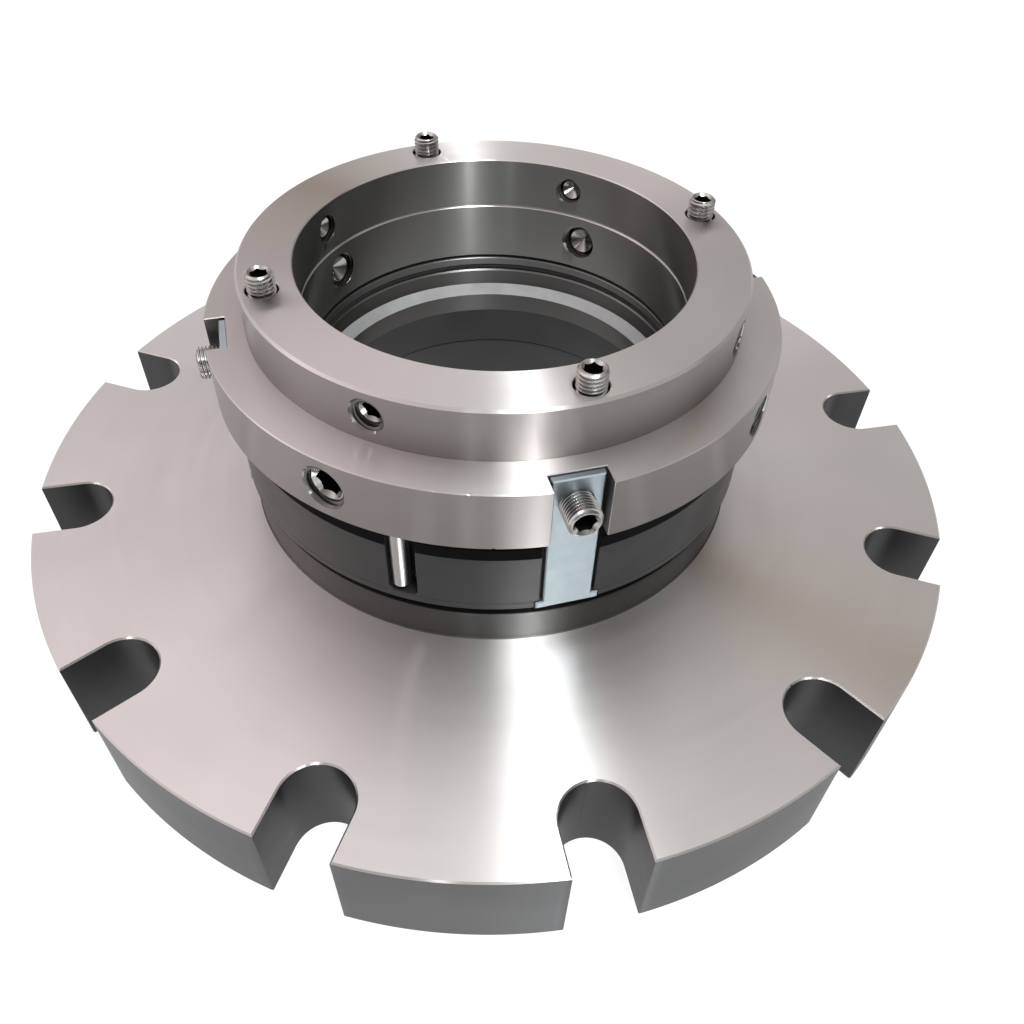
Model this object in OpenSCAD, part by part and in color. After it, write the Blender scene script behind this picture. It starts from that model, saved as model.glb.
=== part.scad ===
// Cartridge mechanical seal for a large vertical shaft.
// A slotted gland flange carries a stationary seat. Above it a drive collar and
// a lock collar are clamped on the shaft, and push a sprung rotating face down.
// Origin: centre of the flange's underside. +Z runs up along the shaft.
// Clock angles are counted from -Y towards +X.

/* [Shaft] */
// Bore of both collars, which are clamped on the shaft
collar_bore_d = 145.7; // [145:0.1:147]
// Radial step of the tapered ledge where the shaft gets thinner
ledge_step = 4.45; // [3:0.05:5.5]
// Radial clearance between the shaft and the stationary seat
seat_clearance = 1.2; // [0.6:0.1:2]
// Radial clearance between the shaft and the flange's throat
throat_clearance = 5; // [4:0.5:10]

/* [Gland flange] */
// Outside diameter of the flange
flange_d = 380; // [360:1:420]
// Thickness of the flange
flange_t = 42; // [36:0.5:60]
// Number of bolt slots, the first one at clock angle 0
slot_count = 12; // [6:1:12]
// Width of a bolt slot, open at the rim
slot_w = 26; // [14:0.5:30]
// Circle through the centres of the slots' round ends
slot_pcd = 346; // [330:1:350]
// Wall of the raised hub round the stationary seat
hub_wall = 7.8; // [5:0.1:14]
// Height of the hub above the flange
hub_h = 13.6; // [10:0.1:25]
// Bevel on the flange's rim
flange_bevel = 1.2; // [0.4:0.1:3]
// Mean diameter of the gasket groove in the underside
gasket_d = 236; // [226:1:250]
// Width of the gasket
gasket_w = 8; // [4:0.5:12]
// Thickness of the gasket
gasket_t = 3; // [2:0.5:5]

/* [Stationary seat] */
// Radial width of the seat
seat_wall = 22.8; // [20:0.1:24]
// Height of the seat
seat_h = 20; // [18:0.5:30]
// How far the seat's face lies below the top of the hub
seat_drop = 1.2; // [0.5:0.1:3]
// Section diameter of the seat's O-ring
seat_cord_d = 4; // [3:0.25:5]
// Diameter of the pins that stop the seat turning
seat_pin_d = 5; // [3:0.5:6]
// Length of those pins
seat_pin_l = 14; // [10:0.5:18]

/* [Rotating face] */
// How far the rotating face ring lies inside the drive collar's rim
face_step = 5.4; // [4:0.1:6]
// Height of the ring without its nose
face_h = 31.6; // [29:0.1:40]
// Gap between the hub and the ring's underside
skirt_gap = 4.8; // [3:0.1:8]
// Radial width of the nose that runs on the seat
nose_wall = 19; // [12:0.5:22]
// Gap left between the two lapped faces by the setting clips
lapped_gap = 0.2; // [0.1:0.05:0.4]
// How far the rotating face can rise against its springs
float_travel = 1.2; // [0.5:0.1:1.5]

/* [Face carrier] */
// Radial width of the steel carrier inside the ring
carrier_wall = 15.6; // [13:0.1:17]
// Height of the ring below the carrier
carrier_seat_h = 11.4; // [8:0.1:13]
// Length of the carrier's lower bore
carrier_land_h = 8.3; // [5:0.1:10]
// Height of the tapered ledge that leads the shaft in
carrier_taper_h = 3.4; // [2.5:0.1:6]

/* [Drive collar] */
// Radial width of the drive collar
drive_wall = 34.55; // [33:0.05:38]
// Thickness of the drive collar
drive_t = 24; // [22:0.5:34]
// Gap between the rotating face ring and the drive collar
collar_gap = 6; // [5.5:0.25:9]
// Bevel on the upper edges of both collars
collar_bevel = 0.9; // [0.3:0.1:1.5]
// Bevel on the lower edges of both collars
collar_low_bevel = 0.3; // [0.2:0.1:1.5]

/* [Lock collar] */
// Radial width of the lock collar
lock_wall = 19.85; // [18:0.05:24]
// Thickness of the lock collar
lock_t = 20; // [17:0.5:30]

/* [Set screws] */
// Thread diameter of the axial screws
axial_screw_d = 10; // [8:1:12]
// How far the axial screws stand out of the lock collar
axial_screw_out = 6.8; // [2:0.1:12]
// How deep the axial screws reach into the drive collar
axial_screw_in = 12; // [8:0.5:14]
// Distance from the middle of an axial screw to the lock collar's rim
axial_screw_edge = 8.2; // [7.5:0.1:9.5]
// Clock angle of the first axial screw
axial_screw_clock = 38.9; // [37:0.1:40]
// Clock angle between an axial screw and the radial screw beside it in the lock collar
lock_screw_turn = 45.6; // [43:0.1:47]
// Thread diameter of the lock collar's radial screws
lock_screw_d = 12; // [8:1:12]
// Length of the lock collar's radial screws
lock_screw_l = 14; // [10:0.5:15]
// Thread diameter of the drive collar's radial screws
drive_screw_d = 16; // [10:1:16]
// Length of the drive collar's radial screws
drive_screw_l = 30; // [20:0.5:31]
// Clock angle between a setting clip and the radial screw beside it in the drive collar
drive_screw_turn = 45.2; // [43:0.1:47]
// Length of the radial screws' holes left open at the shaft
screw_back = 2.2; // [1:0.1:4]
// Radial gap between a screw and its hole
screw_clearance = 0.05; // [0.03:0.01:0.1]

/* [Setting clips] */
// Clock angle of the first setting clip
clip_clock = 33.5; // [33:0.1:35]
// Width of a clip's plate
clip_w = 17.6; // [15:0.1:18]
// Thickness of a clip's plate
clip_t = 2.4; // [2:0.1:4]
// Bevel round a clip's face
clip_bevel = 0.5; // [0.3:0.1:0.8]
// Width of a clip's foot
clip_foot_w = 23; // [21:0.1:26]
// Height of a clip's foot
clip_foot_h = 3.2; // [2.5:0.1:6]
// How far a clip's top lies below the top of the drive collar
clip_drop = 0.8; // [0.2:0.1:3]
// Width of the notch for a clip in the drive collar
notch_w = 19.3; // [18.4:0.1:21]
// Depth of a notch, from the drive collar's rim to its flat back
notch_depth = 8.1; // [7:0.1:9]
// Thread diameter of a clip's screw
clip_screw_d = 12; // [8:1:12]
// Length of a clip's screw
clip_screw_l = 20; // [16:0.5:20]
// How far a clip's screw stands out of the drive collar's rim
clip_screw_out = 4; // [3.5:0.1:6]

/* [Drive pins] */
// Diameter of a drive pin
pin_d = 6.6; // [4:0.1:7]
// Length of a drive pin
pin_l = 44; // [42:0.5:44.5]
// Length of a drive pin inside the drive collar
pin_grip = 12.2; // [8:0.1:14]
// Distance from the middle of a drive pin to the drive collar's rim
pin_edge = 8.6; // [8:0.1:9.5]
// Width of the driving slots in the rotating face ring
drive_slot_w = 10.6; // [9.8:0.1:12]
// Gap between a drive pin and the side of its slot that it pushes round
drive_gap = 0.45; // [0.2:0.05:1]

/* [Closing springs] */
// Number of closing springs
spring_count = 8; // [4:4:8]
// Clock angle of the first closing spring
spring_clock = 12; // [11:0.5:14]
// Outside diameter of a closing spring
spring_d = 7.6; // [6:0.1:8]
// Diameter of the spring wire
wire_d = 1.1; // [0.8:0.1:1.4]
// Coils in a closing spring, with its closed ends
spring_coils = 6; // [4:0.5:8]
// Depth of a spring's pocket in the drive collar
pocket_h = 14; // [10:0.5:16]
// Thickness of the ring that spreads the springs' push
thrust_t = 3.4; // [2:0.1:3.6]
// How far that ring stands out past the steel carrier
thrust_lip = 10; // [6:0.5:12]
// Section diameter of the O-ring that seals on the shaft
shaft_cord_d = 2.4; // [2:0.1:2.6]

/* [Hidden] */
$fn = 96;
// Setting clips, drive pins and each kind of screw come in fours
set_count = 4;

// Fits and small edges
fit_gap = 0.05;
side_gap = 0.2;
loose_gap = 0.4;
fine_bevel = 0.6;
thin_bevel = 0.3;
window_gap = 1.2;
over = 1;

// Diameters, from the shaft outwards
lower_bore_d = collar_bore_d - 2 * ledge_step;
throat_d = lower_bore_d + 2 * throat_clearance;
seat_bore_d = lower_bore_d + 2 * seat_clearance;
seat_d = seat_bore_d + 2 * seat_wall;
hub_d = seat_d + 2 * side_gap + 2 * hub_wall;
seat_pin_pcd = (seat_bore_d + seat_d) / 2;
nose_d = lower_bore_d + 2 * nose_wall;
carrier_d = lower_bore_d + 2 * carrier_wall;
spring_pcd = carrier_d;
thrust_d = carrier_d + 2 * thrust_lip;
lock_d = collar_bore_d + 2 * lock_wall;
axial_screw_pcd = lock_d - 2 * axial_screw_edge;
drive_d = collar_bore_d + 2 * drive_wall;
face_d = drive_d - 2 * face_step;
pin_pcd = drive_d - 2 * pin_edge;
notch_r = drive_d / 2 - notch_depth;

// Heights, from the underside up
hub_top_z = flange_t + hub_h;
seat_face_z = hub_top_z - seat_drop;
seat_floor_z = seat_face_z - seat_h;
nose_z = seat_face_z + lapped_gap;
skirt_z = hub_top_z + skirt_gap;
face_top_z = skirt_z + face_h;
carrier_z = skirt_z + carrier_seat_h;
land_top_z = carrier_z + carrier_land_h;
taper_top_z = land_top_z + carrier_taper_h;
drive_z = face_top_z + collar_gap;
drive_top_z = drive_z + drive_t;
lock_top_z = drive_top_z + lock_t;
drive_mid_z = drive_z + drive_t / 2;
lock_mid_z = drive_top_z + lock_t / 2;

// The thrust ring floats with the face and stops just short of the drive collar
float_spare = 0.2;
thrust_top_z = drive_z - float_travel - float_spare;
thrust_z = thrust_top_z - thrust_t;
cord_floor_z = thrust_z - shaft_cord_d - fit_gap * 2;

// The carrier's bore above the ledge is a little tighter than the collars'
ledge_relief = 0.3;
carrier_bore_r = collar_bore_d / 2 - ledge_relief;
seat_bore_r = seat_bore_d / 2;
carrier_rim_w = 8;

// The setting clips hang in the notches and hook under steps in the face ring
clip_back_r = notch_r + side_gap;
clip_foot_z = skirt_z + side_gap;
clip_top_z = drive_top_z - clip_drop;
window_back_r = clip_back_r - loose_gap;
window_w = clip_w + 2 * window_gap;
foot_window_w = clip_foot_w + 2 * loose_gap;
foot_window_top_z = clip_foot_z + clip_foot_h + loose_gap;

// The drive pins end above the slots' floors by more than the float
pin_r = pin_pcd / 2;
pin_spare = 0.8;
pin_top_z = drive_z + pin_grip;
pin_end_z = pin_top_z - pin_l;
drive_slot_floor_z = pin_end_z - float_travel - pin_spare;
drive_slot_back_r = pin_r - drive_slot_w / 2 + loose_gap;

// The slots' middles lie past the pins, because the pins drag the ring round
drive_slot_turn = asin(((drive_slot_w - pin_d) / 2 - drive_gap) / pin_r);
slot_corner_r = 2;

// Screws
lock_screw_clock = axial_screw_clock - lock_screw_turn;
drive_screw_clock = clip_clock - drive_screw_turn;
axial_hole_d = axial_screw_d + 4 * loose_gap;
axial_screw_l = axial_screw_out + lock_t + axial_screw_in;
lock_screw_tip_r = collar_bore_d / 2 + screw_back;
drive_screw_tip_r = collar_bore_d / 2 + screw_back;
clip_screw_tip_r = drive_d / 2 + clip_screw_out - clip_screw_l;
mouth_bevel = 0.6;
tip_room = 1;

function step_of(count) = 360 / count;

// Puts its children at a clock angle, with +X pointing outwards
module at_clock(angle) {
    rotate([0, 0, angle - 90]) children();
}

// Copies its children round the axis
module around(count, first) {
    for (i = [0 : count - 1]) at_clock(first + i * step_of(count)) children();
}

// A turned ring with its four edges bevelled
module turned_ring(r_in, r_out, z_low, z_high, bevel, low_bevel) {
    rotate_extrude()
        polygon([[r_in + low_bevel, z_low], [r_out - low_bevel, z_low],
                 [r_out, z_low + low_bevel], [r_out, z_high - bevel],
                 [r_out - bevel, z_high], [r_in + bevel, z_high],
                 [r_in, z_high - bevel], [r_in, z_low + low_bevel]]);
}

// A round rod along +X from r_low to r_high
module radial_rod(r_low, r_high, z, d) {
    translate([r_low, 0, z]) rotate([0, 90, 0]) cylinder(h = r_high - r_low, d = d);
}

// A bevelled mouth for a radial hole in a rim of radius r_rim
module radial_mouth(r_rim, z, d) {
    translate([r_rim - mouth_bevel, 0, z]) rotate([0, 90, 0])
        cylinder(h = mouth_bevel + over, d1 = d, d2 = d + 2 * (mouth_bevel + over));
}

// A hexagon socket set screw along +Z with a cup point at the bottom
module set_screw(d, l) {
    bevel = d * 0.09;
    socket = d * 0.56;
    difference() {
        union() {
            cylinder(h = bevel * 2, d1 = d - 4 * bevel, d2 = d);
            translate([0, 0, bevel * 2]) cylinder(h = l - bevel * 3, d = d);
            translate([0, 0, l - bevel]) cylinder(h = bevel, d1 = d, d2 = d - 2 * bevel);
        }
        translate([0, 0, l - d * 0.55]) cylinder(h = d, d = socket / cos(30), $fn = 6);
        translate([0, 0, l - d * 0.04]) cylinder(h = d * 0.04 + 0.01, d1 = socket, d2 = socket * 1.15);
        translate([0, 0, -0.01]) cylinder(h = d * 0.12, d1 = d * 0.42, d2 = 0.2);
    }
}

// A set screw that points inwards along -X, with its point at radius r_tip
module radial_screw(d, l, r_tip, z) {
    translate([r_tip, 0, z]) rotate([0, 90, 0]) set_screw(d, l);
}

// The flange's bolt slot, open at the rim
module bolt_slot() {
    reach = flange_d / 2 - slot_pcd / 2 + over;
    translate([slot_pcd / 2, 0, -over]) linear_extrude(flange_t + 2 * over) {
        circle(d = slot_w);
        translate([0, -slot_w / 2]) square([reach, slot_w]);
    }
}

module gland_flange() {
    rim_r = flange_d / 2;
    hub_r = hub_d / 2;
    pocket_r = seat_d / 2 + side_gap;
    color("silver") difference() {
        rotate_extrude()
            polygon([[throat_d / 2, flange_bevel], [throat_d / 2 + flange_bevel, 0],
                     [gasket_d / 2 - gasket_w / 2, 0], [gasket_d / 2 - gasket_w / 2, gasket_t],
                     [gasket_d / 2 + gasket_w / 2, gasket_t], [gasket_d / 2 + gasket_w / 2, 0],
                     [rim_r - flange_bevel, 0], [rim_r, flange_bevel],
                     [rim_r, flange_t - flange_bevel], [rim_r - flange_bevel, flange_t],
                     [hub_r + fine_bevel, flange_t], [hub_r, flange_t + fine_bevel],
                     [hub_r, hub_top_z - fine_bevel], [hub_r - fine_bevel, hub_top_z],
                     [pocket_r + fine_bevel * 2, hub_top_z], [pocket_r, hub_top_z - fine_bevel * 2],
                     [pocket_r, seat_floor_z], [throat_d / 2, seat_floor_z]]);
        around(slot_count, 0) bolt_slot();
        around(2, 0) translate([seat_pin_pcd / 2, 0, seat_floor_z - seat_pin_l / 2])
            cylinder(h = seat_pin_l, d = seat_pin_d + 2 * fit_gap);
    }
}

module gland_gasket() {
    color("dimgray") turned_ring(gasket_d / 2 - gasket_w / 2 + fit_gap,
        gasket_d / 2 + gasket_w / 2 - fit_gap, fit_gap, gasket_t, thin_bevel, thin_bevel);
}

// Height of the groove's middle in the seat's rim
seat_groove_z = seat_floor_z + seat_h * 0.45;

module stationary_seat() {
    groove_depth = seat_cord_d;
    groove_h = seat_cord_d * 1.3;
    seat_r = seat_d / 2;
    color("dimgray") difference() {
        turned_ring(seat_bore_r, seat_r, seat_floor_z + fit_gap, seat_face_z, fine_bevel, fine_bevel);
        rotate_extrude() translate([seat_r - groove_depth, seat_groove_z - groove_h / 2])
            square([groove_depth + over, groove_h]);
        around(2, 0) translate([seat_pin_pcd / 2, 0, seat_floor_z - over])
            cylinder(h = seat_pin_l / 2 + over + loose_gap, d = seat_pin_d + 2 * loose_gap);
    }
}

module seat_o_ring() {
    color("black") rotate_extrude()
        translate([seat_d / 2 + fit_gap - seat_cord_d / 2, seat_groove_z]) circle(d = seat_cord_d, $fn = 32);
}

module seat_pin(i) {
    color("gainsboro") at_clock((i - 1) * 180)
        translate([seat_pin_pcd / 2, 0, seat_floor_z - seat_pin_l / 2 + fit_gap])
            cylinder(h = seat_pin_l - fit_gap, d = seat_pin_d);
}

// Window for a setting clip in the rotating face ring, with a wider foot
module clip_window() {
    depth = face_d / 2 - window_back_r + over;
    translate([window_back_r, -window_w / 2, skirt_z - over])
        cube([depth, window_w, face_h + 2 * over]);
    translate([window_back_r, -foot_window_w / 2, skirt_z - over])
        cube([depth, foot_window_w, foot_window_top_z - skirt_z + over]);
}

// Slot with round lower corners for a drive pin, open at the top of the rotating face ring
module drive_slot() {
    depth = face_d / 2 - drive_slot_back_r + over;
    corner_y = drive_slot_w / 2 - slot_corner_r;
    corner_z = drive_slot_floor_z + slot_corner_r;
    translate([drive_slot_back_r, 0, 0]) {
        for (side = [-1, 1]) translate([0, side * corner_y, corner_z]) rotate([0, 90, 0])
            cylinder(h = depth, r = slot_corner_r);
        translate([0, -corner_y, drive_slot_floor_z]) cube([depth, 2 * corner_y, slot_corner_r + over]);
        translate([0, -drive_slot_w / 2, corner_z]) cube([depth, drive_slot_w, face_top_z - corner_z + over]);
    }
}

module rotating_face() {
    outer_r = face_d / 2;
    nose_r = nose_d / 2;
    bore_r = lower_bore_d / 2;
    seat_r = carrier_d / 2 + fit_gap;
    color([0.2, 0.2, 0.21]) difference() {
        rotate_extrude()
            polygon([[bore_r + fine_bevel, nose_z], [nose_r - fine_bevel, nose_z],
                     [nose_r, nose_z + fine_bevel], [nose_r, skirt_z],
                     [outer_r - fine_bevel, skirt_z], [outer_r, skirt_z + fine_bevel],
                     [outer_r, face_top_z - fine_bevel], [outer_r - fine_bevel, face_top_z],
                     [seat_r + fine_bevel, face_top_z], [seat_r, face_top_z - fine_bevel],
                     [seat_r, carrier_z], [bore_r, carrier_z],
                     [bore_r, nose_z + fine_bevel]]);
        around(set_count, clip_clock) clip_window();
        around(set_count, drive_slot_turn) drive_slot();
    }
}

module face_carrier() {
    outer_r = carrier_d / 2;
    land_r = lower_bore_d / 2;
    z_low = carrier_z + fit_gap;
    z_rim = thrust_z - fit_gap;
    color("silver") rotate_extrude()
        polygon([[land_r, z_low], [outer_r - fine_bevel, z_low],
                 [outer_r, z_low + fine_bevel], [outer_r, z_rim - fine_bevel],
                 [outer_r - fine_bevel, z_rim], [outer_r - carrier_rim_w, z_rim],
                 [outer_r - carrier_rim_w, cord_floor_z], [carrier_bore_r + fine_bevel, cord_floor_z],
                 [carrier_bore_r, cord_floor_z - fine_bevel], [carrier_bore_r, taper_top_z],
                 [land_r, land_top_z]]);
}

module shaft_o_ring() {
    color("black") rotate_extrude()
        translate([carrier_bore_r + side_gap + shaft_cord_d / 2, cord_floor_z + fit_gap + shaft_cord_d / 2])
            circle(d = shaft_cord_d, $fn = 32);
}

module thrust_ring() {
    color("silver") turned_ring(carrier_bore_r + fit_gap * 2, thrust_d / 2, thrust_z, thrust_top_z,
                                thin_bevel, thin_bevel);
}

// Points of one closed ring of wire round the helix at a turn count t
function wire_centre(t, r, z_low, z_high) =
    let (closed = 1, s = (t - closed) / (spring_coils - 2 * closed))
    let (low = z_low + wire_d / 2, high = z_high - wire_d / 2)
    let (rise = min(1, max(0, s)), pad = wire_d * 0.95)
    [r * cos(360 * t), r * sin(360 * t),
     t < closed ? low + pad * t
     : t > spring_coils - closed ? high - pad * (spring_coils - t)
     : low + pad + (high - low - 2 * pad) * rise];

function wire_ring(t, r, z_low, z_high, sides) =
    let (c = wire_centre(t, r, z_low, z_high), a = 360 * t)
    [for (k = [0 : sides - 1])
        let (b = 360 * k / sides)
        c + wire_d / 2 * [cos(b) * cos(a), cos(b) * sin(a), sin(b)]];

// A coil spring along +Z with closed ends
module coil_spring(z_low, z_high) {
    sides = 6;
    per_turn = 9;
    rings = spring_coils * per_turn;
    r = (spring_d - wire_d) / 2;
    points = [for (i = [0 : rings]) each wire_ring(i / per_turn, r, z_low, z_high, sides)];
    walls = [for (i = [0 : rings - 1]) for (k = [0 : sides - 1])
        let (n = (k + 1) % sides)
        [i * sides + k, (i + 1) * sides + k, (i + 1) * sides + n, i * sides + n]];
    ends = [[for (k = [0 : sides - 1]) k],
            [for (k = [sides - 1 : -1 : 0]) rings * sides + k]];
    polyhedron(points = points, faces = concat(walls, ends), convexity = 4);
}

module closing_spring(i) {
    color("lightgray") at_clock(spring_clock + (i - 1) * step_of(spring_count))
        translate([spring_pcd / 2, 0, 0]) coil_spring(thrust_top_z + fit_gap, drive_z + pocket_h - fit_gap);
}

module drive_collar() {
    rim_r = drive_d / 2;
    bore_r = collar_bore_d / 2;
    color("silver") difference() {
        turned_ring(bore_r, rim_r, drive_z, drive_top_z, collar_bevel, collar_low_bevel);
        around(set_count, clip_clock) {
            translate([notch_r, -notch_w / 2, drive_z - over])
                cube([rim_r - notch_r + over, notch_w, drive_t + 2 * over]);
            radial_rod(clip_screw_tip_r - tip_room, rim_r, drive_mid_z, clip_screw_d + 2 * screw_clearance);
        }
        around(set_count, drive_screw_clock) {
            radial_rod(bore_r - over, rim_r + over, drive_mid_z, drive_screw_d + 2 * screw_clearance);
            radial_mouth(rim_r, drive_mid_z, drive_screw_d);
        }
        around(set_count, axial_screw_clock)
            translate([axial_screw_pcd / 2, 0, drive_top_z - axial_screw_in - tip_room])
                cylinder(h = axial_screw_in + tip_room + over, d = axial_screw_d + 2 * screw_clearance);
        around(set_count, 0) translate([pin_r, 0, drive_z - over])
            cylinder(h = pin_grip + over + fit_gap, d = pin_d + 2 * fit_gap);
        around(spring_count, spring_clock) translate([spring_pcd / 2, 0, drive_z - over])
            cylinder(h = pocket_h + over, d = spring_d + 3 * loose_gap);
    }
}

module lock_collar() {
    rim_r = lock_d / 2;
    bore_r = collar_bore_d / 2;
    color("silver") difference() {
        turned_ring(bore_r, rim_r, drive_top_z, lock_top_z, collar_bevel, collar_low_bevel);
        around(set_count, axial_screw_clock) translate([axial_screw_pcd / 2, 0, drive_top_z - over])
            cylinder(h = lock_t + 2 * over, d = axial_hole_d);
        around(set_count, lock_screw_clock) {
            radial_rod(bore_r - over, rim_r + over, lock_mid_z, lock_screw_d + 2 * screw_clearance);
            radial_mouth(rim_r, lock_mid_z, lock_screw_d);
        }
    }
}

module drive_pin(i) {
    bevel = 0.8;
    color("gainsboro") at_clock((i - 1) * step_of(set_count)) translate([pin_r, 0, pin_end_z]) {
        cylinder(h = bevel, d1 = pin_d - 2 * bevel, d2 = pin_d);
        translate([0, 0, bevel]) cylinder(h = pin_l - bevel, d = pin_d);
    }
}

// The clip's outline, seen along its radius, standing on its foot
module clip_outline(inset) {
    half = clip_w / 2 - inset;
    foot = clip_foot_w / 2 - inset;
    polygon([[-foot, clip_foot_z + inset], [foot, clip_foot_z + inset],
             [foot, clip_foot_z + clip_foot_h - inset], [half, clip_foot_z + clip_foot_h - inset],
             [half, clip_top_z - inset], [-half, clip_top_z - inset],
             [-half, clip_foot_z + clip_foot_h - inset], [-foot, clip_foot_z + clip_foot_h - inset]]);
}

module setting_clip(i) {
    color([0.72, 0.76, 0.8]) at_clock(clip_clock + (i - 1) * step_of(set_count)) difference() {
        union() {
            translate([clip_back_r, 0, 0]) rotate([90, 0, 90])
                linear_extrude(clip_t - clip_bevel) clip_outline(0);
            translate([clip_back_r + clip_t - clip_bevel, 0, 0]) rotate([90, 0, 90])
                linear_extrude(clip_bevel) clip_outline(clip_bevel / 2);
        }
        radial_rod(clip_back_r - over, clip_back_r + clip_t + over, drive_mid_z,
                   clip_screw_d + 2 * screw_clearance);
    }
}

module clip_screw(i) {
    color("darkgray") at_clock(clip_clock + (i - 1) * step_of(set_count))
        radial_screw(clip_screw_d, clip_screw_l, clip_screw_tip_r, drive_mid_z);
}

module axial_screw(i) {
    color("darkgray") at_clock(axial_screw_clock + (i - 1) * step_of(set_count))
        translate([axial_screw_pcd / 2, 0, lock_top_z + axial_screw_out - axial_screw_l])
            set_screw(axial_screw_d, axial_screw_l);
}

module lock_screw(i) {
    color("darkgray") at_clock(lock_screw_clock + (i - 1) * step_of(set_count))
        radial_screw(lock_screw_d, lock_screw_l, lock_screw_tip_r, lock_mid_z);
}

module drive_screw(i) {
    color("darkgray") at_clock(drive_screw_clock + (i - 1) * step_of(set_count))
        radial_screw(drive_screw_d, drive_screw_l, drive_screw_tip_r, drive_mid_z);
}

gland_flange();
gland_gasket();
stationary_seat();
seat_o_ring();
for (i = [1, 2]) seat_pin(i);
rotating_face();
face_carrier();
shaft_o_ring();
thrust_ring();
drive_collar();
lock_collar();
for (i = [1 : spring_count]) closing_spring(i);
for (i = [1 : set_count]) drive_pin(i);
for (i = [1 : set_count]) setting_clip(i);
for (i = [1 : set_count]) clip_screw(i);
for (i = [1 : set_count]) axial_screw(i);
for (i = [1 : set_count]) lock_screw(i);
for (i = [1 : set_count]) drive_screw(i);
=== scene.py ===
import math

import bmesh
import bpy
from mathutils import Matrix, Vector


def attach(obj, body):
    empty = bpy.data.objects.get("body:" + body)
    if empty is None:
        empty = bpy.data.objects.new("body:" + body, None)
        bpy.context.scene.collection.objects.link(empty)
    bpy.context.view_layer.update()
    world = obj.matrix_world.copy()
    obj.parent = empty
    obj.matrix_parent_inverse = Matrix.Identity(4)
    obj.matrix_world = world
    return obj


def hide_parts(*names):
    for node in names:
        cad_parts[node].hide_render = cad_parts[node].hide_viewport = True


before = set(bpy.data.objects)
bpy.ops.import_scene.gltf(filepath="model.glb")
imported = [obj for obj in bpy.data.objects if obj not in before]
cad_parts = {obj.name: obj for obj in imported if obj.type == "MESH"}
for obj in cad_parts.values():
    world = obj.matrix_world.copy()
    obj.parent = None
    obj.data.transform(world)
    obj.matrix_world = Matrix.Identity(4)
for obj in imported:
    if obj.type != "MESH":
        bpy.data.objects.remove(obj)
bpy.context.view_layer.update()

# Sizes of the cartridge seal, in millimetres, as its solids have them
MM = 0.001
FLANGE_R = 190.0
FLANGE_T = 42.0
SLOT_R = 13.0
SLOT_RING_R = 173.0
SLOT_COUNT = 12
HUB_R = 100.4
HUB_TOP = 55.6
POCKET_R = 92.6
POCKET_FLOOR = 34.4
THROAT_R = 73.4
SEAT_PIN_R = 81.0
GASKET_R = (114.0, 122.0)
GASKET_T = 3.0
FACE_R = 102.0
SKIRT_Z = 60.4
FACE_TOP = 92.0
NOSE_R = 87.4
NOSE_Z = 54.6
LOWER_BORE_R = 68.4
CARRIER_R = 84.0
CARRIER_Z = 71.8
LAND_TOP = 80.1
TAPER_TOP = 83.5
CARRIER_BORE_R = 72.55
CORD_FLOOR = 90.7
THRUST_Z = (93.2, 96.6)
THRUST_R = 94.0
DRIVE_R = 107.4
DRIVE_Z = (98.0, 122.0)
LOCK_R = 92.7
LOCK_Z = (122.0, 142.0)
COLLAR_BORE_R = 72.85
NOTCH_R = 99.3
NOTCH_W = 19.3
CLIP_BACK_R = 99.5
CLIP_T = 2.4
CLIP_W = 17.6
CLIP_FOOT_W = 23.0
CLIP_Z = (60.6, 121.2)
CLIP_FOOT_H = 3.2
PIN_R = 98.8
PIN_HALF = 3.3
PIN_Z = (66.2, 110.2)
DRIVE_MID = 110.0
LOCK_MID = 132.0
AXIAL_RING_R = 84.5
AXIAL_TOP = 148.8
SPRING_RING_R = 84.0
CLIP_TIP_R = 91.4
CLIP_HOLE_R = 6.05
INNER_TIP_R = 75.05
FIT = 0.05

# How far a cutting tool runs past the piece, and how near a point counts as on an edge
PAST = 2
NEAR = 0.01

# Steps round the axis of the turned pieces, and sides of small round holes and screws
RING_STEPS = 240
FINE_STEPS = 288
ROUND_SIDES = 48

# Clock angles run from -Y towards +X
FRONT_CLOCK = 18.3
CLIP_CLOCK = 33.5
AXIAL_CLOCK = 38.9
LOCK_SCREW_CLOCK = -6.7
DRIVE_SCREW_CLOCK = -11.7
PIN_CLOCK = 0.0
DRIVE_SLOT_TURN = 0.899
SPRING_CLOCK = 12
SPRING_COUNT = 8
QUARTERS = [0, 90, 180, 270]

# Set screws: each one's tip is its inner end's radius, and mid is its height
SCREWS = {
    "axial_screw": {"d": 10, "pitch": 1.5, "length": 38.8, "clock": AXIAL_CLOCK},
    "clip_screw": {"d": 12, "pitch": 1.25, "length": 20, "clock": CLIP_CLOCK,
                   "tip": CLIP_TIP_R, "mid": DRIVE_MID},
    "lock_screw": {"d": 12, "pitch": 1.75, "length": 14, "clock": LOCK_SCREW_CLOCK,
                   "tip": INNER_TIP_R, "mid": LOCK_MID},
    "drive_screw": {"d": 16, "pitch": 2.0, "length": 30, "clock": DRIVE_SCREW_CLOCK,
                    "tip": INNER_TIP_R, "mid": DRIVE_MID},
}


def out_of(clock, radius, height):
    """The point at a clock angle in degrees, in the lengths that radius and height have."""
    turn = math.radians(clock)
    return Vector((radius * math.sin(turn), -radius * math.cos(turn), height))


def turned_to(clock):
    """Turns what was made along +X to a clock angle."""
    return Matrix.Rotation(math.radians(clock - 90), 4, "Z")


# Modelling tools

def leave_all():
    """Leaves edit mode with nothing selected."""
    if bpy.context.object and bpy.context.object.mode != "OBJECT":
        bpy.ops.object.mode_set(mode="OBJECT")
    bpy.ops.object.select_all(action="DESELECT")


def pick(part):
    leave_all()
    part.select_set(True)
    bpy.context.view_layer.objects.active = part


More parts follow.
